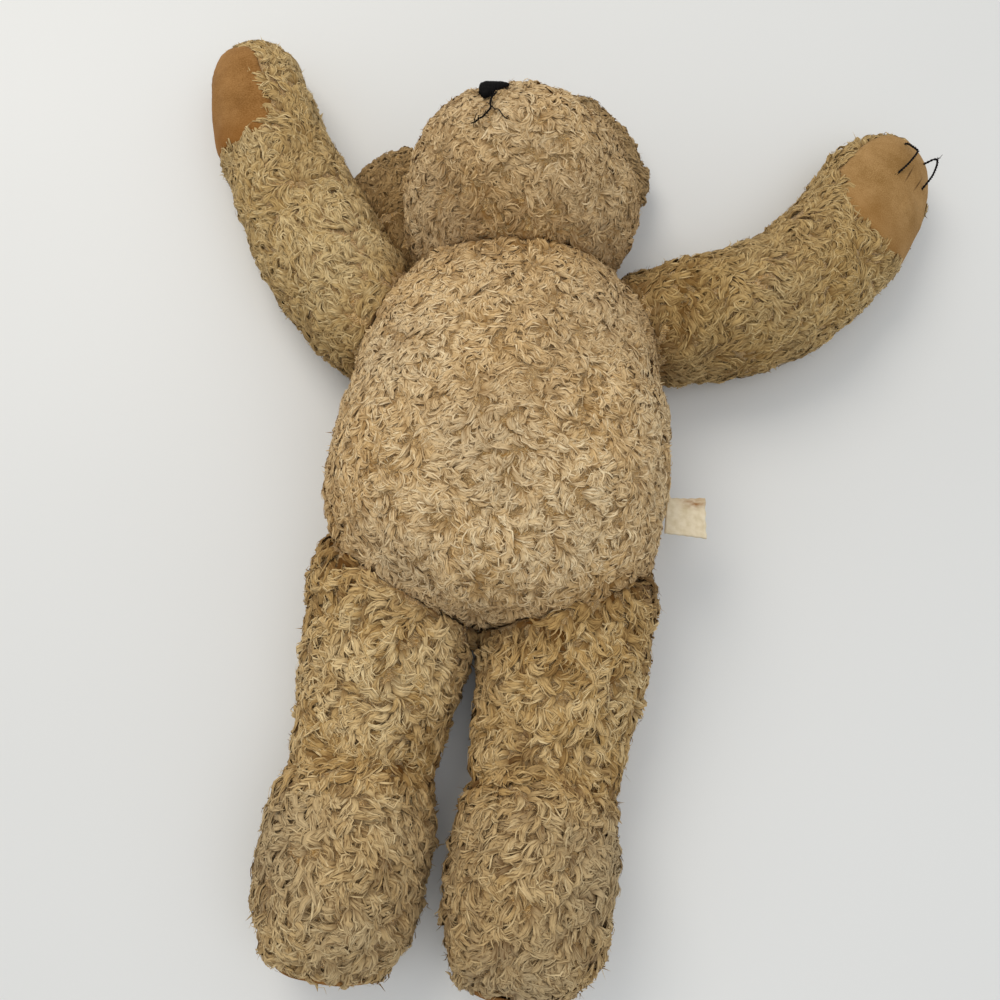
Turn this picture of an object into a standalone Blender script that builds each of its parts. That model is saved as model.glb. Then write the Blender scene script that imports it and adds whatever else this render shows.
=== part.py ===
# A threadbare teddy bear lying on its back: head fallen back, one arm thrown up, one bent out.
# Metres, +Z up, +Y from the feet to the head, +X to the bear's own left. The table is z = 0.
import math

import bmesh
import bpy
from mathutils import Matrix, Vector
from mathutils.bvhtree import BVHTree

# What every piece shares
GAP = 0.0003            # between two pieces that touch
PRESS = 0.006           # how far the stuffing gives where a piece lies on the table
CORNERS = 8             # corners of a cage's ring
ROUNDING = (2 + math.cos(2 * math.pi / CORNERS)) / 3     # how far subdivision draws such a ring in
SMOOTH = 2              # subdivision levels

# Torso: widths across and heights off the table, at distances from the belly's widest place
BELLY_WIDTH = 0.212
BELLY_HEIGHT = 0.146
CHEST_WIDTH = 0.190
CHEST_HEIGHT = 0.132
CHEST_AT = 0.072
SHOULDER_WIDTH = 0.158
SHOULDER_HEIGHT = 0.116
SHOULDER_AT = 0.120
COLLAR_WIDTH = 0.096
COLLAR_HEIGHT = 0.096
COLLAR_AT = 0.154
HIP_WIDTH = 0.204
HIP_HEIGHT = 0.132
HIP_AT = -0.052
SEAT_WIDTH = 0.092
SEAT_HEIGHT = 0.108
SEAT_AT = -0.094

# Head: its own axes are the face's way (to the nose), the crown's way, and the bear's left
HEAD_WIDTH = 0.158
HEAD_DEPTH = 0.128      # chin to crown
HEAD_LENGTH = 0.127     # back of the head to the snout's root
SNOUT_WIDTH = 0.082
SNOUT_DEPTH = 0.058
SNOUT_LENGTH = 0.018
SNOUT_DROP = 0.010      # how much nearer the chin than the head's middle the snout lies
HEAD_PAST_COLLAR = 0.024
HEAD_LIFT = 0.066       # the head's middle off the table
HEAD_SIDE = -0.006
FACE_RISE = math.radians(56)    # the face points this far above level, towards +Y
FACE_TURN = math.radians(16)    # and is turned this far to the bear's right

# Ears: flattened rounds that flop back to the table beside the crown
EAR_HEIGHT = 0.108
EAR_WIDTH = 0.084
EAR_THICKNESS = 0.020
EAR_OUT = 0.008         # the ear's middle inside the head's widest place
EAR_FORWARD = 0.039
EAR_LIFT = 0.036
EAR_SLOPE = math.radians(28)
EAR_TURN = math.radians(26)     # the two ears' line, from straight across

# Arms: widths and heights at the shoulder, elbow and paw
UPPER_ARM_WIDTH = 0.086
UPPER_ARM_HEIGHT = 0.086
ELBOW_WIDTH = 0.090
ELBOW_HEIGHT = 0.078
PAW_WIDTH = 0.076
PAW_HEIGHT = 0.051
ARM_LENGTH = 0.250      # from the shoulder to the paw's tip
ARM_INSIDE = 0.045      # how far the arm's root lies inside the shoulder
LEFT_SHOULDER_AT = 0.118
LEFT_ARM_WAY = math.radians(11)      # the way each arm leaves its shoulder, counted from +X
LEFT_ARM_BEND = math.radians(60)
LEFT_ELBOW_AT = 0.100
RIGHT_SHOULDER_AT = 0.100
RIGHT_ARM_WAY = math.radians(133.6)
RIGHT_ARM_BEND = math.radians(-22)
RIGHT_ELBOW_AT = 0.095
ELBOW_SPREAD = 0.130    # the length over which an arm bends

# Legs and feet
THIGH_WIDTH = 0.108
THIGH_HEIGHT = 0.094
SHIN_WIDTH = 0.092
SHIN_HEIGHT = 0.078
ANKLE_WIDTH = 0.088
ANKLE_HEIGHT = 0.070
FOOT_WIDTH = 0.100
FOOT_HEIGHT = 0.100
SOLE_WIDTH = 0.082
SOLE_HEIGHT = 0.084
LEG_LENGTH = 0.264
ANKLE_AT = 0.146        # the ankle's crease from the leg's root
FOOT_AT = 0.206
LEG_APART = 0.053       # each leg's middle from the body's
LEG_SWAY = -0.058       # both legs drift this far sideways for each metre of their length
LEG_ROOT_AT = -0.030

# Pads of suede let into the paws and soles
SUEDE = 0.0012
PAW_PAD_LENGTH = 0.108
PAW_PAD_WIDTH = 0.066
PAW_PAD_BACK = 0.055    # the pad's middle back from the paw's tip
PAW_PAD_TILT = math.radians(6)      # how far the pad faces towards the tip
LEFT_PAW_ROLL = math.radians(12)     # how far each paw is rolled outwards, pad and all
LEFT_PAD_TWIST = math.radians(-10)   # and how far its tip end turns outwards from the arm's line
RIGHT_PAW_ROLL = math.radians(54)
RIGHT_PAD_TWIST = math.radians(13)
SOLE_PAD_LENGTH = 0.066
SOLE_PAD_WIDTH = 0.058

# Nose, eyes and threads
NOSE_WIDTH = 0.0175
NOSE_DEPTH = 0.0145
NOSE_DROP = 0.003       # the nose nearer the chin than the snout's middle
NOSE_BULGE = 0.0028
NOSE_TAPER = 0.36       # how much wider the nose is at its top than at its middle
EYE_WIDTH = 0.012
EYE_BULGE = 0.0042
EYE_APART = 0.052
EYE_RISE = math.radians(34)     # the eyes above the face's middle, seen from the head's
THREAD = 0.0014
MOUTH_DROP = 0.009      # from the nose down to the mouth's fork
MOUTH_REACH = 0.0105    # each branch sideways
MOUTH_FALL = 0.0095     # and downwards
CLAW_STAND_OFF = 0.007
UPPER_CLAW = (0.001, 0.034, 0.034)     # across the pad, its outer end ahead of the middle, its length
LOWER_CLAW = (0.018, 0.027, 0.027)
CLAW_SLIP = 0.005       # how far sideways the loose threads have slipped

# Label in the side seam
LABEL_OUT = 0.021       # how far it stands out of the seam
LABEL_WIDTH = 0.024
LABEL_THICKNESS = 0.0008
LABEL_DROOP = 0.004
LABEL_AT = -0.016
LABEL_LIFT = 0.062


def clear_scene():
    for old in list(bpy.data.objects):
        bpy.data.objects.remove(old, do_unlink=True)


def collection(name):
    made = bpy.data.collections.new(name)
    bpy.context.scene.collection.children.link(made)
    return made


def cloth(name, colour, roughness=0.95):
    made = bpy.data.materials.new(name)
    made.use_nodes = True
    shader = made.node_tree.nodes["Principled BSDF"]
    shader.inputs["Base Color"].default_value = (*colour, 1)
    shader.inputs["Roughness"].default_value = roughness
    shader.inputs["Metallic"].default_value = 0
    return made


def add(name, mesh, material, where):
    made = bpy.data.objects.new(name, mesh)
    where.objects.link(made)
    if material:
        mesh.materials.append(material)
    mesh.shade_smooth()
    return made


def subdivide(piece):
    """Rounds a cage; every copy of it is then split along the same diagonals."""
    smooth = piece.modifiers.new("stuffing", "SUBSURF")
    smooth.levels = SMOOTH
    smooth.render_levels = SMOOTH
    split = piece.modifiers.new("flat facets", "TRIANGULATE")
    split.quad_method = "FIXED"


def cage_mesh(name, stations, up):
    """Rings of corners round a bent centre line, closed at both ends."""
    work = bmesh.new()
    rings = []
    for i, (centre, width, height, roll) in enumerate(stations):
        ahead = stations[min(i + 1, len(stations) - 1)][0]
        behind = stations[max(i - 1, 0)][0]
        along = ahead - behind
        level = along.cross(up).normalized()
        side = level * math.cos(roll) - up * math.sin(roll)
        rise = up * math.cos(roll) + level * math.sin(roll)
        ring = []
        for k in range(CORNERS):
            turn = 2 * math.pi * (k + 0.5) / CORNERS
            out = side * (math.cos(turn) * width / 2) + rise * (math.sin(turn) * height / 2)
            ring.append(work.verts.new(centre + out / ROUNDING))
        rings.append(ring)
    for ring, following in zip(rings, rings[1:]):
        for k in range(CORNERS):
            after = (k + 1) % CORNERS
            work.faces.new((ring[k], ring[after], following[after], following[k]))
    work.faces.new(reversed(rings[0]))
    work.faces.new(rings[-1])
    bmesh.ops.recalc_face_normals(work, faces=work.faces)
    mesh = bpy.data.meshes.new(name)
    work.to_mesh(mesh)
    work.free()
    return mesh


def stuffed(name, stations, material, up=Vector((0, 0, 1))):
    """A stuffed form of cloth, smooth over its cage; its origin is where it is sewn on."""
    root = stations[0][0].copy()
    local = [(centre - root, *section) for centre, *section in stations]
    made = add(name, cage_mesh(name, local, up), material, BEAR)
    made.location = root
    subdivide(made)
    return made


def lying(x, y, width, height, roll=0.0):
    """A station of a form that lies on the table, which presses its underside flat."""
    thick = height + PRESS
    half = math.hypot(width / 2 * math.sin(roll), thick / 2 * math.cos(roll))
    return Vector((x, y, half - PRESS)), width, thick, roll


def cut(piece, tool, way="DIFFERENCE"):
    step = piece.modifiers.new(f"{way.lower()} {tool.name}", "BOOLEAN")
    step.operation = way
    step.object = tool
    step.solver = "EXACT"


def as_cutter(piece):
    piece.hide_render = True
    piece.display_type = "WIRE"
    return piece


def grown(piece, by, name):
    """The smooth form before its cuts, grown outwards or inwards, to cut a neighbour with."""
    made = bpy.data.objects.new(name, piece.data)
    CUTTERS.objects.link(made)
    made.location = piece.location
    subdivide(made)
    swell = made.modifiers.new("swell", "DISPLACE")
    swell.strength = by
    swell.mid_level = 0
    return as_cutter(made)


def floor_cutter():
    work = bmesh.new()
    bmesh.ops.create_cube(work, size=1)
    mesh = bpy.data.meshes.new("table_plane")
    work.to_mesh(mesh)
    work.free()
    mesh.transform(Matrix.Translation((0, 0, -0.5)))
    made = add("table_plane", mesh, None, CUTTERS)
    made.scale = (2, 2, 0.1)
    return as_cutter(made)


def basis(origin, along, face):
    """A matrix whose Z is the way a surface faces and whose Y runs along it."""
    z = face.normalized()
    x = along.cross(z).normalized()
    y = z.cross(x)
    return Matrix.Translation(origin) @ Matrix((x, y, z)).transposed().to_4x4()


def oval_prism(name, length, width, depth, place, where):
    """An upright oval block on the place's own XY, to bound a pad with."""
    work = bmesh.new()
    bmesh.ops.create_cone(work, cap_ends=True, segments=24, radius1=0.5, radius2=0.5, depth=1)
    shape = place @ Matrix.Diagonal((width, length, depth, 1)) @ Matrix.Translation((0, 0, 0.5))
    bmesh.ops.transform(work, matrix=shape, verts=work.verts)
    mesh = bpy.data.meshes.new(name)
    work.to_mesh(mesh)
    work.free()
    return add(name, mesh, None, where)


def world_tree(piece):
    """The piece as evaluated, to find places on its surface."""
    bpy.context.view_layer.update()
    graph = bpy.context.evaluated_depsgraph_get()
    shown = piece.evaluated_get(graph)
    mesh = shown.to_mesh()
    mesh.transform(piece.matrix_world)
    points = [corner.co.copy() for corner in mesh.vertices]
    faces = [tuple(face.vertices) for face in mesh.polygons]
    shown.to_mesh_clear()
    return BVHTree.FromPolygons(points, faces)


def on_surface(tree, start, way):
    """Where a ray from inside leaves the surface, and the way the surface faces there."""
    place, face, _, _ = tree.ray_cast(start, way.normalized())
    return place, face if face.dot(way) > 0 else -face


def torso():
    stations = [
        lying(0, SEAT_AT, SEAT_WIDTH, SEAT_HEIGHT),
        lying(0, HIP_AT, HIP_WIDTH, HIP_HEIGHT),
        lying(0, 0, BELLY_WIDTH, BELLY_HEIGHT),
        lying(0, CHEST_AT, CHEST_WIDTH, CHEST_HEIGHT),
        lying(0, SHOULDER_AT, SHOULDER_WIDTH, SHOULDER_HEIGHT),
        lying(0, COLLAR_AT, COLLAR_WIDTH, COLLAR_HEIGHT),
    ]
    return stuffed("torso", stations, BODY_PILE)


def head_axes():
    """The face's way, the crown's way and the bear's left: tilted back, then turned about the crown."""
    straight = Vector((0, math.cos(FACE_RISE), math.sin(FACE_RISE)))
    crown = Vector((0, math.sin(FACE_RISE), -math.cos(FACE_RISE)))
    across = Vector((1, 0, 0))
    face = straight * math.cos(FACE_TURN) - across * math.sin(FACE_TURN)
    left = across * math.cos(FACE_TURN) + straight * math.sin(FACE_TURN)
    return face, crown, left


def head_middle():
    return Vector((HEAD_SIDE, COLLAR_AT + HEAD_PAST_COLLAR, HEAD_LIFT))


def head():
    face, crown, _ = head_axes()
    middle = head_middle()
    half = HEAD_LENGTH / 2

    def station(along, width, depth, drop=0.0):
        return middle + face * along - crown * drop, width, depth, 0.0

    stations = [
        station(-half, HEAD_WIDTH * 0.52, HEAD_DEPTH * 0.52),
        station(-half * 0.62, HEAD_WIDTH * 0.90, HEAD_DEPTH * 0.90),
        station(0, HEAD_WIDTH, HEAD_DEPTH),
        station(half * 0.55, HEAD_WIDTH * 0.90, HEAD_DEPTH * 0.90),
        station(half * 0.95, (HEAD_WIDTH + SNOUT_WIDTH) * 0.42, (HEAD_DEPTH + SNOUT_DEPTH) * 0.40, SNOUT_DROP),
        station(half + SNOUT_LENGTH, SNOUT_WIDTH * 0.8, SNOUT_DEPTH * 0.8, SNOUT_DROP),
    ]
    return stuffed("head", stations, BODY_PILE, up=crown)


def ear(name, side):
    level = Vector((-math.sin(EAR_TURN), math.cos(EAR_TURN), 0))
    out = Vector((math.cos(EAR_TURN), math.sin(EAR_TURN), 0)) * side
    middle = head_middle() + out * (HEAD_WIDTH / 2 - EAR_OUT) + level * EAR_FORWARD
    middle.z = EAR_LIFT
    rise = out * math.sin(EAR_SLOPE) + Vector((0, 0, 1)) * math.cos(EAR_SLOPE)

    def station(along, width, thickness):
        return middle + level * (along * EAR_HEIGHT / 2), width, thickness, 0.0

    stations = [
        station(-1.0, EAR_WIDTH * 0.45, EAR_THICKNESS * 0.7),
        station(-0.45, EAR_WIDTH * 1.04, EAR_THICKNESS),
        station(0.45, EAR_WIDTH * 1.04, EAR_THICKNESS),
        station(1.0, EAR_WIDTH * 0.45, EAR_THICKNESS * 0.7),
    ]
    return stuffed(name, stations, EAR_PILE, up=rise)


def arm_point(side, shoulder_at, way, bend, elbow_at, run):
    """The place and the heading a run along an arm, which bends evenly round its elbow."""
    place = Vector((side * CHEST_WIDTH / 2, shoulder_at, 0))
    steps = 80
    for i in range(steps):
        share = min(max((run * (i + 0.5) / steps - elbow_at) / ELBOW_SPREAD + 0.5, 0), 1)
        heading = way + bend * share
        place += Vector((math.cos(heading), math.sin(heading), 0)) * (run / steps)
    share = min(max((run - elbow_at) / ELBOW_SPREAD + 0.5, 0), 1)
    heading = way + bend * share
    return place, Vector((math.cos(heading), math.sin(heading), 0))


def arm(name, side, pose, roll):
    """An arm along its bent line, which rolls outwards evenly on its way to the paw."""
    elbow_at = pose[-1]
    forearm_at = (elbow_at + ARM_LENGTH) / 2
    stops = (
        (-ARM_INSIDE, UPPER_ARM_WIDTH * 0.8, UPPER_ARM_HEIGHT * 0.9),
        (elbow_at * 0.2, UPPER_ARM_WIDTH, UPPER_ARM_HEIGHT),
        (elbow_at * 0.9, ELBOW_WIDTH, ELBOW_HEIGHT),
        (forearm_at, (ELBOW_WIDTH + PAW_WIDTH) / 2, (ELBOW_HEIGHT + PAW_HEIGHT) / 2),
        (ARM_LENGTH - PAW_WIDTH * 0.40, PAW_WIDTH, PAW_HEIGHT),
        (ARM_LENGTH, PAW_WIDTH * 0.50, PAW_HEIGHT * 0.70),
    )
    stations = []
    for run, width, height in stops:
        place, _ = arm_point(side, *pose, run)
        rolled = side * roll * min(max(run / forearm_at, 0), 1)
        stations.append(lying(place.x, place.y, width, height, rolled))
    return stuffed(name, stations, LIMB_PILE)


def leg(name, side):
    def station(run, width, top):
        return lying(side * LEG_APART + LEG_SWAY * run, LEG_ROOT_AT - run, width, top)

    stations = [
        station(0, THIGH_WIDTH * 0.98, THIGH_HEIGHT * 0.9),
        station(ANKLE_AT * 0.40, THIGH_WIDTH, THIGH_HEIGHT),
        station(ANKLE_AT * 0.78, SHIN_WIDTH, SHIN_HEIGHT),
        station(ANKLE_AT, ANKLE_WIDTH, ANKLE_HEIGHT),
        station(ANKLE_AT + 0.022, FOOT_WIDTH * 0.95, FOOT_HEIGHT * 0.88),
        station(FOOT_AT, FOOT_WIDTH, FOOT_HEIGHT),
        station(LEG_LENGTH - SOLE_WIDTH * 0.12, SOLE_WIDTH, SOLE_HEIGHT),
        station(LEG_LENGTH, SOLE_WIDTH * 0.55, SOLE_HEIGHT * 0.60),
    ]
    return stuffed(name, stations, LIMB_PILE)


def let_in_pad(name, carrier, place, length, width):
    """A suede pad as part of its carrier's surface: the carrier is recessed for it."""
    reach = carrier.dimensions.length
    recess = as_cutter(oval_prism(f"{name}_recess", length + 2 * GAP, width + 2 * GAP, reach, place, CUTTERS))
    cut(recess, grown(carrier, -SUEDE - GAP, f"{name}_recess_floor"))
    outline = as_cutter(oval_prism(f"{name}_outline", length, width, reach, place, CUTTERS))
    pad = add(name, carrier.data.copy(), None, BEAR)
    pad.data.name = name
    pad.data.materials.clear()
    pad.data.materials.append(SUEDE_TAN)
    pad.location = carrier.location
    subdivide(pad)
    cut(pad, outline, "INTERSECT")
    cut(pad, grown(carrier, -SUEDE, f"{name}_bed"))
    cut(pad, TABLE)
    cut(carrier, recess)


def dome(name, width, depth, bulge, place, material, taper=0.0):
    """A low round button or patch: half of it stands on the surface, half is sunk, to be cut away."""
    work = bmesh.new()
    bmesh.ops.create_uvsphere(work, u_segments=20, v_segments=10, radius=0.5)
    for corner in work.verts:
        corner.co.x *= 1 + 2 * taper * corner.co.y
    bmesh.ops.transform(work, matrix=place @ Matrix.Diagonal((width, depth, 2 * bulge, 1)), verts=work.verts)
    mesh = bpy.data.meshes.new(name)
    work.to_mesh(mesh)
    work.free()
    made = add(name, mesh, material, BEAR)
    cut(made, HEAD_GROWN)
    return made


def thread(name, points, material):
    """A round thread along its points, as a closed mesh."""
    line = bpy.data.curves.new(name, "CURVE")
    line.dimensions = "3D"
    line.bevel_depth = THREAD / 2
    line.bevel_resolution = 2
    line.use_fill_caps = True
    spline = line.splines.new("POLY")
    spline.points.add(len(points) - 1)
    for knot, point in zip(spline.points, points):
        knot.co = (*point, 1)
    made = bpy.data.objects.new(name, line)
    BEAR.objects.link(made)
    line.materials.append(material)
    return made


def smooth_run(knots, steps):
    """Points along a smooth curve through the knots."""
    ends = [knots[0] * 2 - knots[1]] + list(knots) + [knots[-1] * 2 - knots[-2]]
    points = []
    for before, start, stop, after in zip(ends, ends[1:], ends[2:], ends[3:]):
        for i in range(steps):
            t = i / steps
            points.append(0.5 * (2 * start + (stop - before) * t
                                 + (2 * before - 5 * start + 4 * stop - after) * t ** 2
                                 + (3 * start - before - 3 * stop + after) * t ** 3))
    points.append(knots[-1])
    return points


def paw_place(side, pose, roll, twist):
    """The pad's own axes, from the middle of the paw: Y to the tip, Z the way that the pad faces."""
    place, heading = arm_point(side, *pose, ARM_LENGTH - PAW_PAD_BACK)
    middle = lying(place.x, place.y, PAW_WIDTH, PAW_HEIGHT, roll)[0]
    outwards = heading.cross(Vector((0, 0, 1))) * side
    straight = Vector((0, 0, 1)) * math.cos(roll) + outwards * math.sin(roll)
    facing = straight * math.cos(PAW_PAD_TILT) + heading * math.sin(PAW_PAD_TILT)
    return basis(middle, heading * math.cos(twist) + outwards * math.sin(twist), facing)


def sole_place(side):
    """The sole's own axes, from inside the foot."""
    run = LEG_LENGTH - SOLE_WIDTH / 2
    middle = Vector((side * LEG_APART + LEG_SWAY * LEG_LENGTH, LEG_ROOT_AT - run, SOLE_HEIGHT / 2))
    return basis(middle, Vector((0, 0, 1)), Vector((0, -1, 0)))


def claw_thread(name, across, far, length):
    """A claw stitch that has come loose: its ends go into the paw and its middle stands off."""
    def on_paw(x, y, above):
        start = LEFT_PAW @ Vector((x, y, 0))
        facing = LEFT_PAW.to_3x3() @ Vector((0, 0, 1))
        place, way = on_surface(LEFT_PAW_TREE, start, facing)
        return place + way * (THREAD / 2 + GAP + above)

    knots = [
        on_paw(across, far, 0),
        on_paw(across + CLAW_SLIP * 0.9, far - length * 0.08, CLAW_STAND_OFF * 0.7),
        on_paw(across + CLAW_SLIP * 1.3, far - length * 0.35, CLAW_STAND_OFF),
        on_paw(across + CLAW_SLIP, far - length * 0.70, CLAW_STAND_OFF * 0.45),
        on_paw(across, far - length, 0),
    ]
    thread(name, smooth_run(knots, 4), BLACK_THREAD)


def face_pieces():
    """Nose, mouth and eyes, each found on the head's surface from the head's middle."""
    face, crown, left = head_axes()
    middle = head_middle()
    ahead = face * (HEAD_LENGTH / 2 + SNOUT_LENGTH) - crown * (SNOUT_DROP + NOSE_DROP)
    place, way = on_surface(HEAD_TREE, middle, ahead)
    nose = basis(place, crown, way)
    dome("nose", NOSE_WIDTH, NOSE_DEPTH, NOSE_BULGE, nose, BLACK_THREAD, taper=NOSE_TAPER)

    def on_face(x, y):
        spot, out = on_surface(HEAD_TREE, nose @ Vector((x, y, -SNOUT_DEPTH / 2)), way)
        return spot + out * (THREAD / 2 + GAP)

    top = -NOSE_DEPTH / 2 - THREAD / 2
    fork = top - MOUTH_DROP
    away = 1 if nose.to_3x3().col[0].dot(left) > 0 else -1

    def branch(side, start):
        return [
            on_face(side * away * MOUTH_REACH * share, fork - MOUTH_FALL * share ** 1.3)
            for share in start
        ]

    stem = [on_face(0, top - MOUTH_DROP * share) for share in (0, 0.35, 0.7)]
    thread("mouth_stitch_right", smooth_run(stem + branch(-1, (0.08, 0.35, 0.7, 1)), 3), BLACK_THREAD)
    clear = (THREAD + 2 * GAP) / MOUTH_REACH
    thread("mouth_stitch_left", smooth_run(branch(1, (clear * 1.6, 0.45, 0.75, 1)), 3), BLACK_THREAD)

    for name, side in (("eye_left", 1), ("eye_right", -1)):
        ahead = face * math.cos(EYE_RISE) + crown * math.sin(EYE_RISE)
        spot, out = on_surface(HEAD_TREE, middle, ahead * HEAD_LENGTH / 2 + left * side * EYE_APART / 2)
        dome(name, EYE_WIDTH, EYE_WIDTH, EYE_BULGE, basis(spot, crown, out), EYE_BLACK)


def side_label():
    """A folded tab of tape, held by its end in the torso's side seam."""
    seam, _ = on_surface(world_tree(TORSO), Vector((0, LABEL_AT, LABEL_LIFT)), Vector((1, 0, 0)))
    inside = LABEL_OUT / 4
    steps = 8
    work = bmesh.new()
    rows = []
    for i in range(steps + 1):
        run = (LABEL_OUT + inside) * i / steps
        out = max(run - inside, 0) / LABEL_OUT
        x = seam.x - inside + run
        z = LABEL_LIFT - LABEL_DROOP * out ** 2
        rows.append([work.verts.new((x, LABEL_AT + end * LABEL_WIDTH / 2, z)) for end in (-1, 1)])
    for row, following in zip(rows, rows[1:]):
        work.faces.new((row[0], following[0], following[1], row[1]))
    mesh = bpy.data.meshes.new("side_label")
    work.to_mesh(mesh)
    work.free()
    label = add("side_label", mesh, LABEL_CREAM, BEAR)
    tape = label.modifiers.new("two layers of tape", "SOLIDIFY")
    tape.thickness = LABEL_THICKNESS
    tape.offset = 0
    cut(label, TORSO_GROWN)


def recentre():
    """Sets the middle of the whole bear's box over the origin, by way of one empty."""
    bpy.context.view_layer.update()
    graph = bpy.context.evaluated_depsgraph_get()
    corners = []
    for piece in BEAR.objects:
        shown = piece.evaluated_get(graph)
        corners += [piece.matrix_world @ corner.co for corner in shown.to_mesh().vertices]
        shown.to_mesh_clear()
    middle = Vector([(min(c[i] for c in corners) + max(c[i] for c in corners)) / 2 for i in range(2)] + [0])
    bear = bpy.data.objects.new("bear", None)
    pieces = list(BEAR.objects) + list(CUTTERS.objects)
    BEAR.objects.link(bear)
    for piece in pieces:
        piece.parent = bear
    bear.location = -middle
    bpy.context.view_layer.update()


clear_scene()
BEAR = collection("threadbare_teddy_bear")
CUTTERS = collection("cutters")
BODY_PILE = cloth("body_pile_cloth", (0.50, 0.36, 0.20))
LIMB_PILE = cloth("limb_pile_cloth", (0.46, 0.31, 0.15))
EAR_PILE = cloth("ear_pile_cloth", (0.36, 0.24, 0.12))
SUEDE_TAN = cloth("tan_suede", (0.58, 0.31, 0.14))
BLACK_THREAD = cloth("black_cotton_thread", (0.01, 0.01, 0.01), 0.7)
EYE_BLACK = cloth("dark_glass_eye", (0.01, 0.006, 0.004), 0.1)
LABEL_CREAM = cloth("cream_cotton_tape", (0.72, 0.64, 0.48))

TABLE = floor_cutter()
TORSO = torso()
TORSO_GROWN = grown(TORSO, GAP, "torso_grown")
HEAD = head()
HEAD_GROWN = grown(HEAD, GAP, "head_grown")

LEFT_POSE = (LEFT_SHOULDER_AT, LEFT_ARM_WAY, LEFT_ARM_BEND, LEFT_ELBOW_AT)
RIGHT_POSE = (RIGHT_SHOULDER_AT, RIGHT_ARM_WAY, RIGHT_ARM_BEND, RIGHT_ELBOW_AT)
ARM_LEFT = arm("arm_left", 1, LEFT_POSE, LEFT_PAW_ROLL)
ARM_RIGHT = arm("arm_right", -1, RIGHT_POSE, RIGHT_PAW_ROLL)
LEG_LEFT = leg("leg_left", 1)
LEG_RIGHT = leg("leg_right", -1)
EAR_LEFT = ear("ear_left", 1)
EAR_RIGHT = ear("ear_right", -1)

for piece in (TORSO, HEAD, ARM_LEFT, ARM_RIGHT, LEG_LEFT, LEG_RIGHT, EAR_LEFT, EAR_RIGHT):
    cut(piece, TABLE)
for piece in (HEAD, ARM_LEFT, ARM_RIGHT, LEG_LEFT, LEG_RIGHT):
    cut(piece, TORSO_GROWN)
for piece in (EAR_LEFT, EAR_RIGHT):
    cut(piece, HEAD_GROWN)
cut(EAR_RIGHT, grown(ARM_RIGHT, GAP, "arm_right_grown"))
cut(LEG_LEFT, grown(LEG_RIGHT, GAP, "leg_right_grown"))

LEFT_PAW = paw_place(1, LEFT_POSE, LEFT_PAW_ROLL, LEFT_PAD_TWIST)
RIGHT_PAW = paw_place(-1, RIGHT_POSE, RIGHT_PAW_ROLL, RIGHT_PAD_TWIST)
LEFT_PAW_TREE = world_tree(ARM_LEFT)
HEAD_TREE = world_tree(HEAD)
claw_thread("claw_thread_upper", *UPPER_CLAW)
claw_thread("claw_thread_lower", *LOWER_CLAW)
let_in_pad("paw_pad_left", ARM_LEFT, LEFT_PAW, PAW_PAD_LENGTH, PAW_PAD_WIDTH)
let_in_pad("paw_pad_right", ARM_RIGHT, RIGHT_PAW, PAW_PAD_LENGTH, PAW_PAD_WIDTH)
let_in_pad("foot_pad_left", LEG_LEFT, sole_place(1), SOLE_PAD_LENGTH, SOLE_PAD_WIDTH)
let_in_pad("foot_pad_right", LEG_RIGHT, sole_place(-1), SOLE_PAD_LENGTH, SOLE_PAD_WIDTH)
face_pieces()
side_label()
recentre()
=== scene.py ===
# A worn teddy bear of curly pile, lying on its back on a white table, seen from above its legs.
import math

import bmesh
import bpy
import numpy as np
from mathutils import Matrix, Vector
from mathutils.bvhtree import BVHTree
from mathutils.kdtree import KDTree


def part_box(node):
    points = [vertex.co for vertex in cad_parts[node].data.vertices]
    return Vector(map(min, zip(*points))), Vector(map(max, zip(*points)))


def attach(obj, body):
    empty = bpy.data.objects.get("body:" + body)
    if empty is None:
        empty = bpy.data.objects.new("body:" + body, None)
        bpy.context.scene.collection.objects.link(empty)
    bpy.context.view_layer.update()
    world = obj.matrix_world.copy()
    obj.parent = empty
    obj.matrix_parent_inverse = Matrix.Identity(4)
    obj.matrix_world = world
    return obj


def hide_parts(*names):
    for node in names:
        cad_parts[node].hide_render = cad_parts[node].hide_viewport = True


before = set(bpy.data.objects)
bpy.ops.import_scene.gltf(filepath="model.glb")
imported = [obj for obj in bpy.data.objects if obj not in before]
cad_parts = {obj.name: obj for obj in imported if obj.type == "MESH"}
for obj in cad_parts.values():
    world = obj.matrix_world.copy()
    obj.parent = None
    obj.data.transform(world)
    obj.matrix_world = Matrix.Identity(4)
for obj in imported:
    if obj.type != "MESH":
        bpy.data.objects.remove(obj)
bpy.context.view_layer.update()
MM = 0.001

# The table: a white painted board, rolled smooth and satin. It gives the eye a plain pale field that
# keeps the bear's soft shadow.


def from_hex(text):
    """An sRGB hex colour as the linear colour that a shader takes."""
    parts = [int(text[i:i + 2], 16) / 255 for i in (1, 3, 5)]
    return (*[c / 12.92 if c <= 0.04045 else ((c + 0.055) / 1.055) ** 2.4 for c in parts], 1)


def join(node, links):
    """Sets a node's sockets by name, to a value, to a link, or to a node, which stands for its first output."""
    for socket, value in links.items():
        if isinstance(value, bpy.types.Node):
            value = next(output for output in value.outputs if output.enabled)
        if isinstance(value, bpy.types.NodeSocket):
            node.id_data.links.new(value, node.inputs[socket])
        else:
            node.inputs[socket].default_value = value


def add(tree, kind, links=(), stops=(), **settings):
    """Adds one node. Its links and values go by its sockets' names, its settings by their own names."""
    made = tree.nodes.new("ShaderNode" + kind)
    for name, value in settings.items():
        setattr(made, name, value)
    join(made, dict(links))
    if stops:
        points = made.color_ramp.elements
        while len(points) < len(stops):
            points.new(1)
        for point, (place, colour) in zip(points, stops):
            point.position = place
            point.color = from_hex(colour)
    return made


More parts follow.
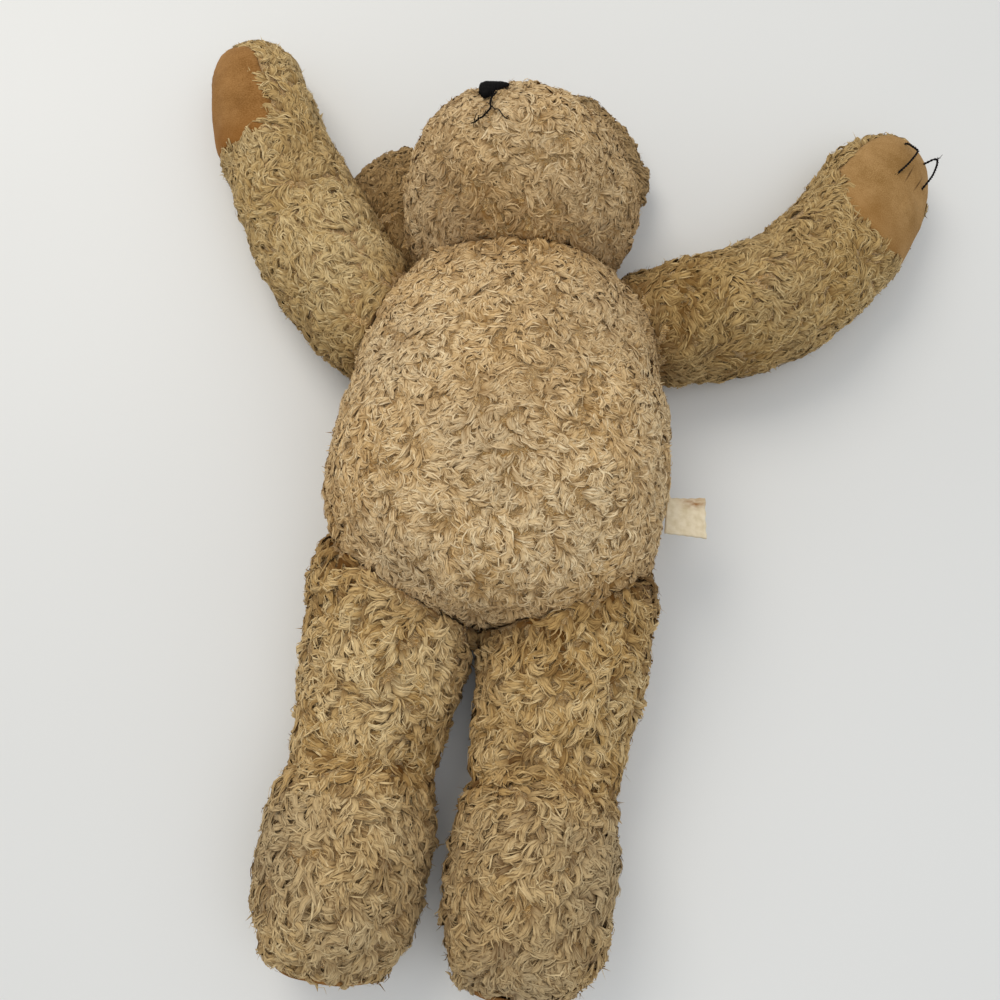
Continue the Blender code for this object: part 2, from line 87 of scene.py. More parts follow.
def new_finish(name, **values):
    """A material with its Principled shader and the values that are the same all over it."""
    made = bpy.data.materials.new(name)
    made.use_nodes = True
    shader = made.node_tree.nodes["Principled BSDF"]
    for socket, value in values.items():
        shader.inputs[socket.replace("_", " ")].default_value = value
    return made, made.node_tree, shader


def from_to(*ends):
    """The four ends of a range that is mapped to another."""
    return dict(zip(("From Min", "From Max", "To Min", "To Max"), ends))


def painted_board():
    made, tree, shader = new_finish("satin_white_painted_board", Roughness=0.55)
    place = add(tree, "TexCoord")
    cloud = add(tree, "TexNoise", {"Vector": place.outputs["Object"], "Scale": 1.6, "Detail": 2.0})
    tone = add(tree, "ValToRGB", {"Fac": cloud}, [(0.3, "#dcdddb"), (0.7, "#e2e3e1")])
    join(shader, {"Base Color": tone})
    return made


bpy.ops.mesh.primitive_plane_add(size=8)
table_top = bpy.context.object
table_top.name = "table_top"
table_top.data.materials.append(painted_board())

# The camera looks down from above the legs, 15 degrees from upright and turned 6 degrees, so the soles
# are hidden and the head is seen from under its chin.

view_tilt = math.radians(15)
view_turn = math.radians(6)
view_distance = 0.665
body_middle = Vector((-0.01844, -0.01074, 0))
picture_up = Vector((-math.sin(view_turn), math.cos(view_turn), 0))
picture_right = Vector((math.cos(view_turn), math.sin(view_turn), 0))
gaze = picture_up * math.sin(view_tilt) - Vector((0, 0, math.cos(view_tilt)))


def placed(name, data):
    """A new thing in the scene."""
    made = bpy.data.objects.new(name, data)
    bpy.context.scene.collection.objects.link(made)
    return made


camera = placed("camera", bpy.data.cameras.new("camera"))
camera.data.sensor_width = 36
camera.data.lens = 36
camera.matrix_world = Matrix.Translation(body_middle - gaze * view_distance) @ Matrix(
    (picture_right, picture_right.cross(gaze), -gaze)).transposed().to_4x4()
bpy.context.scene.camera = camera

# The light of a plain room: a pale ceiling all round, and one wide soft window up on the bear's right, so
# that the shadows are soft and fall to the bear's left and towards its feet.

room = bpy.data.worlds.new("pale_room")
room.use_nodes = True
sky = room.node_tree.nodes["Background"]
sky.inputs["Color"].default_value = from_hex("#f4f6f8")
sky.inputs["Strength"].default_value = 0.72
bpy.context.scene.world = room
for name, place, size, watts, colour in (("window", (-0.75, 0.8, 1.5), 1.1, 11.5, "#fff6ea"),
                                         ("ceiling", (0.6, -0.5, 1.9), 1.6, 6, "#f6f8ff")):
    lamp = placed(name, bpy.data.lights.new(name, "AREA"))
    lamp.data.shape = "DISK"
    lamp.data.size = size
    lamp.data.energy = watts
    lamp.data.color = from_hex(colour)[:3]
    lamp.location = place
    lamp.rotation_euler = (-Vector(place)).to_track_quat("-Z", "Y").to_euler()
bpy.context.scene.view_settings.view_transform = "Standard"

# The body under the pile: forms of knitted backing cloth, sewn up and stuffed. The pile stands a few
# millimetres proud of it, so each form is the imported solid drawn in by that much, lumpy with old stuffing.

pile_depth = 2.6 * MM
cloth_step = 4 * MM
lump_height = 1.2 * MM
sewn_gap = 0.8 * MM         # nearer than this to another part the cloth is sewn on, and isn't drawn in
sewn_reach = 9 * MM         # this much further off it is drawn in by the whole of the pile's depth
table_gap = 1.2 * MM


def waves(points, size, seed):
    """A smooth random field over points, about -1 to 1, with bumps about size apart."""
    chance = np.random.default_rng(seed)
    ways = chance.normal(size=(9, 3))
    ways *= chance.uniform(0.6, 1.5, (9, 1)) * 2 * np.pi / size / np.linalg.norm(ways, axis=1)[:, None]
    return np.sin(points @ ways.T + chance.uniform(0, 2 * np.pi, 9)).sum(1) / 3


def unit(ways, least=0):
    """Ways scaled to a length of 1."""
    return ways / (np.linalg.norm(ways, axis=-1, keepdims=True) + least)


def numbers(items, field, width, kind=float):
    """One field of all of a mesh's items as an array."""
    flat = np.empty(len(items) * width, dtype=kind)
    items.foreach_get(field, flat)
    return flat.reshape(-1, width)


soft_parts = ("torso", "head", "ear_left", "ear_right", "arm_left", "arm_right", "leg_left", "leg_right")


def solid_tree(shapes):
    """Several meshes as one tree, to find places on them."""
    places, faces = [], []
    for shape in shapes:
        faces += [[len(places) + k for k in face.vertices] for face in shape.polygons]
        places += [corner.co for corner in shape.vertices]
    return BVHTree.FromPolygons(places, faces)


neighbours = {part: solid_tree([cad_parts[other].data for other in soft_parts if other != part])
              for part in soft_parts}


class Patch:
    """The outline of a piece that is let into a stuffed part: its middle in millimetres, the ways across and
    up it (not square to each other where it is cut on the skew), its two half sizes, how square it is (2 is
    an oval), and the share of it that lies level with the pile's tips."""

    def __init__(self, middle, across, up, half, squareness=2.0, level=1.0):
        self.middle = np.array(middle) * MM
        self.across = np.array(across)
        self.up = np.array(up)
        self.out = np.cross(across, up) / np.linalg.norm(np.cross(across, up))
        self.half = np.array(half) * MM
        self.squareness = squareness
        self.level = level

    def spot(self, points):
        """Points in the patch's own plane, in metres from its middle."""
        away = points - self.middle
        return np.stack([away @ self.across, away @ self.up], -1)

    def ring(self, points):
        """0 at the middle of the patch, 1 on its outline."""
        return (np.abs(self.spot(points) / self.half) ** self.squareness).sum(-1) ** (1 / self.squareness)

    def holds(self, points, facing, share):
        return (self.ring(points) < share) & (facing @ self.out > 0.15)


def stuffed_cloth(part, patches, creases):
    """The sewn form of one part, drawn in from its solid by the depth of its pile, but not along its seams."""
    work = bmesh.new()
    work.from_mesh(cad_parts[part].data)
    bmesh.ops.remove_doubles(work, verts=work.verts, dist=0.01 * MM)
    mesh = bpy.data.meshes.new(part + "_cloth")
    work.to_mesh(mesh)
    work.free()
    form = placed(part + "_cloth", mesh)
    weave = form.modifiers.new("even mesh", "REMESH")
    weave.mode = "VOXEL"
    weave.voxel_size = cloth_step
    ease = form.modifiers.new("ease the edges", "SMOOTH")
    ease.factor = 0.5
    ease.iterations = 6
    shown = form.evaluated_get(bpy.context.evaluated_depsgraph_get())
    form.modifiers.clear()
    form.data = bpy.data.meshes.new_from_object(shown)
    form.data.name = part + "_cloth"
    form.data.materials.clear()
    places = numbers(form.data.vertices, "co", 3)
    facing = numbers(form.data.vertices, "normal", 3)
    lumps = (waves(places, 42 * MM, 3) + waves(places, 17 * MM, 4) * 0.4) * lump_height
    away = np.array([neighbours[part].find_nearest(p)[3] for p in places.tolist()])
    free = np.clip((away - sewn_gap) / sewn_reach, 0, 1)
    for patch in patches:
        beside = np.clip((patch.ring(places) - patch.level) / 0.25, 0, 1)
        free = np.minimum(free, np.where(facing @ patch.out > -0.2, beside, 1))
    drawn = (lumps - pile_depth) * free * free * (3 - 2 * free) - creases(places)
    places += facing * drawn[:, None]
    places[:, 2] = np.maximum(places[:, 2], table_gap)
    form.data.vertices.foreach_set("co", places.ravel())
    form.data.update()
    form.data.shade_smooth()
    return form


def felted_undercoat():
    """Felted undercoat: the pile's short hairs rubbed into a mat of swirls on the knitted backing."""
    made, tree, shader = new_finish("felted_mohair_undercoat", Roughness=0.9, Sheen_Weight=0.15)
    place = add(tree, "TexCoord")
    swirl = add(tree, "TexNoise", {"Vector": place.outputs["Object"], "Scale": 130.0, "Detail": 2.0,
                                   "Distortion": 3.5})
    ridge = add(tree, "Math", {0: swirl, 1: 0.09}, operation="PINGPONG")
    height = add(tree, "Math", {0: ridge, 1: 11.0}, operation="MULTIPLY")
    fuzz = add(tree, "TexNoise", {"Vector": place.outputs["Object"], "Scale": 700.0, "Detail": 2.0})
    both = add(tree, "Math", {0: fuzz, 1: 0.5, 2: height}, operation="MULTIPLY_ADD")
    tone = add(tree, "ValToRGB", {"Fac": both}, [(0.2, "#9b6e2c"), (0.6, "#c29a5c"), (1.0, "#dab67c")])
    rise = add(tree, "Bump", {"Height": both, "Distance": 1.2 * MM, "Strength": 0.8})
    join(shader, {"Base Color": tone, "Normal": rise})
    return made


backing_finish = felted_undercoat()

# The pile: mohair-like yarn woven into the cloth and long since matted into curly locks, each a few hairs
# wide and about a centimetre long. Each lock is a small ribbed blade of its own that hooks over its neighbours.

atlas_side = 32         # the locks' picture has this many tones one way and this many hues the other
clump_share = 0.13      # one tuft in eight is the middle of a clump, about 9 mm from the next
strand_width = 0.9 * MM
path_steps = 12         # the small steps of a lock's path, of which every third is kept
painted_shade_reach = 9 * MM  # how far from another part the pile is darkened with painted shade


def curly_pile(name, deep, middle, tips, grey):
    """Matted mohair: silky fibres in curls, darker at the root, paler and duller where they are rubbed."""
    made, tree, shader = new_finish(name, Roughness=0.8, Sheen_Weight=0.12, Sheen_Roughness=0.5,
                                    Sheen_Tint=from_hex("#ffe3b4"), Specular_IOR_Level=0.2)
    spot = add(tree, "UVMap", uv_map="lock_uv")
    big = add(tree, "VectorMath", {0: spot, "Scale": atlas_side}, operation="SCALE")
    cell = add(tree, "VectorMath", {0: big}, operation="FLOOR")
    inside = add(tree, "VectorMath", {0: big}, operation="FRACTION")
    cells = add(tree, "SeparateXYZ", {0: cell})
    ways = add(tree, "SeparateXYZ", {0: inside})
    tone = add(tree, "Math", {0: cells.outputs["X"], 1: atlas_side - 1.0}, operation="DIVIDE")
    hue = add(tree, "Math", {0: cells.outputs["Y"], 1: atlas_side - 1.0}, operation="DIVIDE")
    body = add(tree, "ValToRGB", {"Fac": tone}, [(0, deep), (0.5, middle), (1, tips)])
    faded = add(tree, "Mix", {"Factor": hue, "A": body, "B": from_hex(grey)}, data_type="RGBA")
    # fibres run along the lock: the pattern is finer across it than along it
    across = add(tree, "Math", {0: ways.outputs["X"], 1: 5.6}, operation="MULTIPLY")
    along = add(tree, "Math", {0: ways.outputs["Y"], 1: 2.4}, operation="MULTIPLY")
    fibre_spot = add(tree, "CombineXYZ", {"X": across, "Y": along, "Z": cells.outputs["Y"]})
    fibres = add(tree, "TexNoise", {"Vector": fibre_spot, "Scale": 1.0, "Detail": 3.0, "Distortion": 0.6})
    streak = add(tree, "MapRange", {"Value": fibres, **from_to(0.32, 0.68, 0.76, 1.20)})
    streaked = add(tree, "VectorMath", {0: faded, "Scale": streak}, operation="SCALE")
    # a lock's root, its two edges and the splits between its strands are darker: painted shade where the hairs
    # shade each other, along with the brown that the deeper hair has kept
    root = add(tree, "MapRange", {"Value": ways.outputs["Y"], **from_to(0.05, 0.40, 0.7, 0.0)})
    off = add(tree, "Math", {0: ways.outputs["X"], 1: 0.5}, operation="SUBTRACT")
    edge = add(tree, "Math", {0: off}, operation="ABSOLUTE")
    ragged = add(tree, "Math", {0: fibres, 1: -0.14, 2: edge}, operation="MULTIPLY_ADD")
    rim = add(tree, "MapRange", {"Value": ragged, **from_to(0.26, 0.40, 0.0, 0.5)})
    split = add(tree, "MapRange", {"Value": fibres, **from_to(0.37, 0.46, 0.6, 0.0)})
    sides = add(tree, "Math", {0: root, 1: rim}, operation="MAXIMUM")
    depth = add(tree, "Math", {0: sides, 1: split}, operation="MAXIMUM")
    coloured = add(tree, "Mix", {"Factor": depth, "A": streaked, "B": from_hex(deep)}, data_type="RGBA")
    rise = add(tree, "Bump", {"Height": fibres, "Distance": 0.6 * MM, "Strength": 0.9})
    join(shader, {"Base Color": coloured, "Normal": rise})
    return made


class Pile:
    """How the pile of one part grows: tufts to a square centimetre; a lock's length, width and rise in metres;
    its lay, and how it sways, spreads and curls from that in radians; its tone and hue, and how much darker
    it is where it parts, a painted shade in the crevices between clumps. Painted shade and fading add to its
    tone and hue by place."""

    painted_parting_shade = 0.26
    painted_shade = fading = staticmethod(lambda places: 0)

    def __init__(self, **settings):
        self.__dict__.update(settings)


def tuft_roots(form, pile, chance, bare):
    """Evenly scattered places on the cloth, with the way it faces there."""
    mesh = form.data
    mesh.calc_loop_triangles()
    places = numbers(mesh.vertices, "co", 3)
    facing = numbers(mesh.vertices, "normal", 3)
    faces = numbers(mesh.loop_triangles, "vertices", 3, int)
    a, b, c = (places[faces[:, k]] for k in range(3))
    area = np.linalg.norm(np.cross(b - a, c - a), axis=1) / 2
    wanted = area.sum() * pile.tufts * 1e4
    pick = chance.choice(len(faces), int(wanted * 8), p=area / area.sum())
    u, v = chance.random((2, len(pick), 1))
    over = (u + v) > 1
    u, v = np.where(over, 1 - u, u), np.where(over, 1 - v, v)
    roots = a[pick] + (b - a)[pick] * u + (c - a)[pick] * v
    normals = (facing[faces[pick, 0]] * (1 - u - v) + facing[faces[pick, 1]] * u + facing[faces[pick, 2]] * v)
    normals = unit(normals)
    cells = np.floor(roots / math.sqrt(1.5e-4 / pile.tufts)).astype(int)
    _, first = np.unique(cells, axis=0, return_index=True)
    first.sort()
    roots, normals = roots[first], normals[first]
    pressed = (normals[:, 2] < -0.7) & (chance.random(len(roots)) < 0.5)
    keep = ~pressed & ~bare(roots, normals)
    return roots[keep], normals[keep]


def strips(centre, side, crown, half, profile, span):
    """Closed-ended blades along many paths: their corners, their faces' corner lists and sizes, and the
    places of the corners across and along each blade."""
    rows = centre.shape[1]
    wide = len(profile)
    rings = np.stack([centre + side * half * t + crown * half * h for t, h in profile], axis=2)
    tip = centre[:, -1:]
    corners = np.concatenate([rings[:, :-1].reshape(len(centre), -1, 3), tip], 1)
    faces = []
    for r in range(rows - 2):
        for k in range(wide - 1):
            low = r * wide + k
            faces.append((low, low + 1, low + wide + 1, low + wide))
    last = (rows - 2) * wide
    faces += [(last + k, last + k + 1, last + wide) for k in range(wide - 1)]
    one = np.array([i for face in faces for i in face])
    sizes = np.array([len(face) for face in faces])
    across = np.append(np.tile(np.linspace(*span, wide), rows - 1), sum(span) / 2)
    along = np.append(np.repeat(np.linspace(0.05, 0.95, rows)[:-1], wide), 0.95)
    return corners, one, sizes, across, along


def clumps(roots, chance):
    """Gathers the tufts in clumps: how near the crevice between two clumps each stands, from 0 to 1, and the
    number of its clump."""
    chosen = chance.choice(len(roots), max(3, int(len(roots) * clump_share)), replace=False)
    tree = KDTree(len(chosen))
    for k, place in enumerate(roots[chosen]):
        tree.insert(place, k)
    tree.balance()
    found = [tree.find_n(place, 2) for place in roots]
    share = np.array([first[2] / (second[2] + 1e-9) for first, second in found])
    return np.clip((share - 0.55) / 0.45, 0, 1) ** 1.5, np.array([first[1] for first, _ in found])


def grow_pile(name, form, pile, seed, bare, beside_part):
    """The locks of one part: in each tuft a broad matted lock that curls along the cloth, and two thin
    ones that stray over it."""
    chance = np.random.default_rng(seed)
    roots, out = tuft_roots(form, pile, chance, bare)
    count = len(roots)
    lay = pile.lay(roots)
    lay = unit(lay - out * (out * lay).sum(1)[:, None])
    beside = np.cross(out, lay)

    # each tuft's heading, and how it hooks or bends
    heading = pile.sway * waves(roots, 30 * MM, seed + 1) + chance.normal(0, pile.spread, count)
    between, clump = clumps(roots, chance)
    heading += chance.normal(0, pile.spread * 1.3, count)[clump]
    turn_way = np.where(waves(roots, 19 * MM, seed + 2) + chance.normal(0, 0.6, count) > 0, 1, -1)
    curl = turn_way * chance.uniform(*pile.curl, count)
    bends_back = chance.random(count) < 0.35
    reach = pile.length * chance.uniform(0.7, 1.3, count)
    rise = pile.rise * chance.uniform(0.5, 1.2, count) * (1 + 0.3 * waves(roots, 14 * MM, seed + 3))
    rise *= 1.15 - 0.7 * between
    broad = pile.width * chance.uniform(0.7, 1.3, count)

    # the broad lock comes first, then the thin ones over it
    shape = (count, 3)
    thin = np.array([0, 1, 1])
    beside_by = np.array([0, -0.26, 0.26]) + chance.normal(0, 0.14, shape) * thin
    aside = beside_by * broad[:, None]
    crest = 0.16 * broad[:, None] * (1 - 3 * beside_by ** 2) * thin + 0.15 * MM * thin
    ahead = chance.normal(0, pile.length * 0.13, shape) * thin
    heading = heading[:, None] + chance.normal(0, 0.22, shape) * thin
    curl = curl[:, None] * (1 + chance.uniform(-0.3, 0.4, shape) * thin)
    reach = reach[:, None] * (1 + chance.uniform(-0.25, 0.25, shape) * thin)
    rise = rise[:, None] * (1 + chance.uniform(-0.15, 0.2, shape) * thin) + crest
    width = np.where(thin, strand_width * chance.uniform(0.6, 1.4, shape), broad[:, None])

    # the path in the cloth's own plane
    run = (np.arange(path_steps) + 0.5) / path_steps
    bend = np.where(bends_back[:, None, None], 0.55 * np.sin(2 * math.pi * run), run ** 1.4)
    angle = heading[..., None] + curl[..., None] * bend
    path = np.cumsum([np.cos(angle), np.sin(angle)], -1) * reach[..., None] / path_steps
    path = np.concatenate([np.zeros((2, *shape, 1)), path], -1)[..., ::3]
    angle = np.concatenate([angle[..., :1], angle], -1)[..., ::3]
    rows = angle.shape[-1]
    along = np.linspace(0, 1, rows)
    gather = aside[..., None] * (1 - 0.35 * along)
    start = heading[..., None]
    path = (path + ahead[..., None] * np.array([np.cos(start), np.sin(start)])
            + gather * np.array([-np.sin(angle), np.cos(angle)]))[..., None]
    guess = roots[:, None, None] + lay[:, None, None] * path[0] + beside[:, None, None] * path[1]

    tree = BVHTree.FromObject(form, bpy.context.evaluated_depsgraph_get())
    found = [tree.find_nearest(p) for p in guess.reshape(-1, 3).tolist()]
    ground = np.array([hit[0] for hit in found]).reshape(*shape, rows, 3)
    up = np.array([hit[1] for hit in found]).reshape(*shape, rows, 3)
    up = unit(up * 0.6 + out[:, None, None] * 0.4)
    stands_up = (chance.random(shape) < 0.10 + 0.20 * thin)[..., None] * chance.uniform(0.3, 1.3, (*shape, 1))
    tip_fall = chance.uniform(0.1, 0.8, (*shape, 1)) + stands_up
    arch = np.array([-0.1, 0.7, 1.0, 0.92, 0]) + np.array([0, 0, 0, 0, 1]) * tip_fall
    centre = ground + up * (rise[..., None] * arch)[..., None]

    # the way each lock runs, its side and its upper face, rolled a little
    ways = unit(np.gradient(centre, axis=2), 1e-12)
    side = unit(np.cross(ways, up), 1e-12)
    crown = np.cross(side, ways)
    roll = chance.normal(0, 0.18, (*shape, 1)) + chance.normal(0, 0.3, (*shape, 1)) * along
    side, crown = (side * np.cos(roll)[..., None] + crown * np.sin(roll)[..., None],
                   crown * np.cos(roll)[..., None] - side * np.sin(roll)[..., None])
    half = (width[..., None] * np.array([0.7, 1.0, 0.95, 0.7, 0.1]) / 2)[..., None]

    # the thin strands are paler than their broad lock: a painted highlight along the locks' ridges
    # tone and hue pick the lock's cell in the picture: broad patches of wear and dirt, and chance
    tone = (pile.tone + 0.10 * waves(roots, 120 * MM, 91) + 0.07 * waves(roots, 23 * MM, 92)
            + chance.normal(0, 0.05, count))[:, None] + (0.18 + chance.normal(0, 0.08, shape)) * thin
    # painted shade: the pile is darkened near other parts, in the crevices between clumps, and by each part's
    # own painted shade
    near = np.array([beside_part.find_nearest(p)[3] for p in roots.tolist()])
    tone += (pile.painted_shade(roots) - 0.38 * np.exp(-near / painted_shade_reach) - pile.painted_parting_shade * between)[:, None]
    hue = (pile.hue + pile.fading(roots) + 0.16 * waves(roots, 90 * MM, 93))[:, None]
    hue = hue + chance.normal(0, 0.06, shape)
    column, row = (np.clip((field * atlas_side).astype(int), 0, atlas_side - 1) for field in (tone, hue))

    points, index, sizes, spots, softened, made_so_far = [], [], [], [], [], 0
    ribbed = ((-1, -0.35), (-0.4, 0.30), (0.35, 0.34), (1, -0.35))
    for which, profile, span in ((slice(0, 1), ribbed, (0.04, 0.96)),
                                 (slice(1, 3), ((-1, 0), (1, 0)), (0.40, 0.60))):
        chosen = [field[:, which].reshape(-1, rows, field.shape[-1]) for field in (centre, side, crown, half)]
        corners, one, face_sizes, cross_at, along_at = strips(*chosen, profile, span)
        corners[..., 2] = np.maximum(corners[..., 2], (0.5 + 0.4 * chance.random((len(corners), 1))) * MM)
        index.append((one + np.arange(len(corners))[:, None] * corners.shape[1]).ravel() + made_so_far)
        sizes.append(np.tile(face_sizes, len(corners)))
        made_so_far += corners.shape[0] * corners.shape[1]
        points.append(corners.reshape(-1, 3))
        cloth_way = up[:, which].reshape(-1, rows, 3)
        softened.append(np.concatenate([np.repeat(cloth_way[:, :-1], len(profile), axis=1), cloth_way[:, -1:]],
                                       axis=1).reshape(-1, 3))
        u = (column[:, which].reshape(-1, 1) + cross_at) / atlas_side
        v = (row[:, which].reshape(-1, 1) + along_at) / atlas_side
        spots.append(np.stack([u, v], -1).reshape(-1, 2))
    index, sizes = np.concatenate(index), np.concatenate(sizes)

    mesh = bpy.data.meshes.new(name)
    mesh.vertices.add(made_so_far)
    mesh.vertices.foreach_set("co", np.concatenate(points).ravel())
    mesh.loops.add(len(index))
    mesh.loops.foreach_set("vertex_index", index)
    mesh.polygons.add(len(sizes))
    mesh.polygons.foreach_set("loop_start", np.concatenate([[0], np.cumsum(sizes)[:-1]]))
    mesh.update(calc_edges=True)
    picture = np.concatenate(spots)[index].ravel()
    for layer in ("lock_uv", "OFBake"):
        mesh.uv_layers.new(name=layer).data.foreach_set("uv", picture)
    mesh.shade_smooth()
    # matted hair scatters light as one soft mass: each lock shades partly as the cloth under it
    soft = numbers(mesh.vertices, "normal", 3) + np.concatenate(softened)
    mesh.normals_split_custom_set_from_vertices(unit(soft))
    made = placed(name, mesh)
    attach(made, "root")
    return made


# Torso: a front and a back panel of short, much-rubbed pile, sewn along both sides. The pile lies towards
# the feet.

torso_pile = curly_pile("rubbed_mohair_pile", "#7f5618", "#d0ad77", "#f1dcb2", "#cbb590")
side_seam = 0.062


def towards(*way):
    """A lay that is the same all over a part."""
    return lambda places: np.tile(np.array(way, float), (len(places), 1))


torso_locks = Pile(tufts=8.8, length=9.6 * MM, width=3.7 * MM, rise=1.7 * MM, lay=towards(0, -1, 0), sway=1.5,
                   spread=0.42, curl=(0.4, 2.3), tone=0.56, hue=0.3)


def covered(tree, roots, facing, under, reach):
    """Which roots have something close over them, looked for from a little under the cloth."""
    return np.array([tree.ray_cast(Vector(p - n * under), Vector(n), reach)[0] is not None
                     for p, n in zip(roots, facing)])


def dressed(part, locks, finish, seed, panels=(("_pile", lambda places: places[:, 2] > 0),), patches=(),
            creases=lambda places: 0, sewn_on=lambda form: None):
    """One stuffed part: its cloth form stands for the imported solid, what is sewn on it comes next, and its
    pile grows on the rest."""
    form = stuffed_cloth(part, patches, creases)
    form.data.materials.append(backing_finish)
    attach(form, "root")
    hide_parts(part)
    others = neighbours[part]
    patch_piece = sewn_on(form)
    sewn = patch_piece and BVHTree.FromObject(patch_piece, bpy.context.evaluated_depsgraph_get())

    def bare(roots, facing):
        hidden = ~panel(roots) | covered(others, roots, facing, 0, pile_depth + 2.2 * MM)
        if sewn:
            return hidden | covered(sewn, roots, facing, 4 * MM, 11 * MM)
        for patch in patches:
            hidden |= patch.holds(roots, facing, 1.12)
        return hidden

    for ending, panel in panels:
        fur = grow_pile(part + ending, form, locks, seed, bare, others)
        fur.data.materials.append(finish)
        seed += 5


dressed("torso", torso_locks, torso_pile, 11, panels=(
    ("_front_pile", lambda places: places[:, 2] >= side_seam),
    ("_back_pile", lambda places: places[:, 2] < side_seam)))

# Side label: a strip of cream cotton tape, folded double and caught in the torso's left side seam. It is
# bare, soft with age, and has one rusty stain.


def cotton_tape():
    """Plain woven cotton tape: a dull cream, with a weave too fine to show, drawn here at 0.8 mm."""
    made, tree, shader = new_finish("aged_cream_cotton_tape", Roughness=0.9, Sheen_Weight=0.1)
    spot = add(tree, "UVMap", uv_map="tape_uv")
    threads = add(tree, "TexChecker", {"Vector": spot, "Scale": 56.0})
    cloud = add(tree, "TexNoise", {"Vector": spot, "Scale": 5.0, "Detail": 4.0})
    tone = add(tree, "ValToRGB", {"Fac": cloud}, [(0.3, "#d8c7a2"), (0.6, "#eadcbf")])
    where = add(tree, "Mapping", {"Vector": spot, "Location": (-1.35, -3.9, 0), "Scale": (1.8, 4.4, 1)})
    blot = add(tree, "TexGradient", {"Vector": where}, gradient_type="SPHERICAL")
    streaks = add(tree, "TexNoise", {"Vector": where, "Scale": 2.2, "Detail": 4.0})
    strong = add(tree, "MapRange", {"Value": streaks, **from_to(0.35, 0.65, 0.25, 1.15)})
    rust = add(tree, "Math", {0: blot.outputs["Fac"], 1: strong}, operation="MULTIPLY", use_clamp=True)
    stained = add(tree, "Mix", {"Factor": rust, "A": tone, "B": from_hex("#9a6a35")}, data_type="RGBA")
    rise = add(tree, "Bump", {"Height": threads.outputs["Fac"], "Distance": 0.12 * MM, "Strength": 0.5})
    join(shader, {"Base Color": stained, "Normal": rise})
    return made


def grid_mesh(name, corners, uv_name, spots):
    """A mesh from a grid of corners, rows by columns, with a picture place for each."""
    rows, columns = corners.shape[:2]
    faces = [(r * columns + c, (r + 1) * columns + c, (r + 1) * columns + c + 1, r * columns + c + 1)
             for r in range(rows - 1) for c in range(columns - 1)]
    mesh = bpy.data.meshes.new(name)
    mesh.from_pydata(corners.reshape(-1, 3).tolist(), [], faces)
    index = numbers(mesh.loops, "vertex_index", 1, int)[:, 0]
    mesh.uv_layers.new(name=uv_name).data.foreach_set("uv", spots.reshape(-1, 2)[index].ravel())
    mesh.shade_smooth()
    return placed(name, mesh)


tape_low, tape_high = (np.array(corner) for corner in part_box("side_label"))
tape_inset = 1.8 * MM
tape_steps = 20
one_layer = np.linspace(0, 0.97, tape_steps)
tape_out = np.concatenate([one_layer, np.ones(3), one_layer[::-1]])
tape_lift = np.concatenate([-np.ones(tape_steps), (-0.7, 0, 0.7), np.ones(tape_steps)]) * 0.45 * MM
out_grid, across_grid = np.meshgrid(tape_out, np.linspace(0, 1, tape_steps), indexing="ij")
lift_grid = np.repeat(tape_lift[:, None], tape_steps, 1)
curl_up = 2.6 * MM * out_grid ** 2 * (across_grid - 0.35) - 1.2 * MM * np.sin(math.pi * across_grid) * out_grid
tape = grid_mesh("side_tape", np.stack([
    tape_low[0] + (tape_high[0] + 2.4 * MM - tape_low[0]) * out_grid * (1.02 - 0.10 * across_grid)
    + 0.3 * MM * out_grid * np.sin(23 * across_grid),
    tape_low[1] + tape_inset + (tape_high[1] - tape_low[1] - tape_inset) * across_grid
    + 2.2 * MM * out_grid ** 2 * (across_grid - 0.2) + 0.2 * MM * np.sin(31 * out_grid),
    60.0 * MM + lift_grid * (1 + 0.6 * np.sin(4 * across_grid)) + curl_up], -1), "tape_uv",
    np.stack([out_grid, across_grid], -1))
ply = tape.modifiers.new("tape", "SOLIDIFY")
ply.thickness = 0.3 * MM
tape.data.materials.append(cotton_tape())
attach(tape, "root")
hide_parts("side_label")

# Head: the same cloth as the torso, sewn on at the neck, with finer and curlier locks. The pile lies back
# from the nose.

# the head's low side, towards the chin and neck, is darker: painted shade under the chin
head_locks = Pile(tufts=9.2, length=8.8 * MM, width=3.4 * MM, rise=1.6 * MM, lay=towards(0.25, -1, -0.1),
                  sway=1.8, spread=0.5, curl=(0.4, 2.6), tone=0.39, hue=0.42,
                  painted_shade=lambda places: -0.22 * np.clip((0.160 - places[:, 1]) / 0.050, 0, 1))
nose_patch = Patch((-45.1, 201.4, 136.1), (0.9452, 0.1825, 0.2706), (-0.0286, 0.8722, -0.4883), (9.0, 7.8),
                   squareness=3, level=0.6)
eye_half = (5.6, 5.6)
eye_patches = {
    "eye_left": Patch((-14.34, 226.77, 93.02), (0.9961, -0.0494, -0.0732), (-0.058, 0.2591, -0.9641), eye_half),
    "eye_right": Patch((-62.51, 219.03, 81.57), (0.7946, 0.3395, 0.5033), (0.3979, 0.335, -0.8541), eye_half)}
dressed("head", head_locks, torso_pile, 21, patches=(nose_patch, *eye_patches.values()))

# Nose and mouth: black cotton embroidery thread. The nose is a patch of upright satin stitches drawn tight
# over the snout, and the mouth is two loose frayed stitches under it.


def black_cotton():
    """Mercerised cotton thread: black with a low lustre, and grey where the fibres have roughened."""
    made, tree, shader = new_finish("black_cotton_thread", Roughness=0.75, Specular_IOR_Level=0.15)
    place = add(tree, "TexCoord")
    lint = add(tree, "TexNoise", {"Vector": place.outputs["Object"], "Scale": 900.0, "Detail": 3.0})
    tone = add(tree, "ValToRGB", {"Fac": lint}, [(0.45, "#050404"), (0.75, "#161311")])
    rise = add(tree, "Bump", {"Height": lint, "Distance": 0.15 * MM, "Strength": 0.6})
    join(shader, {"Base Color": tone, "Normal": rise})
    return made


thread_finish = black_cotton()


def run_of(line):
    """How far along a line each of its points is."""
    return np.concatenate([[0], np.cumsum(np.linalg.norm(np.diff(line, axis=0), axis=1))])


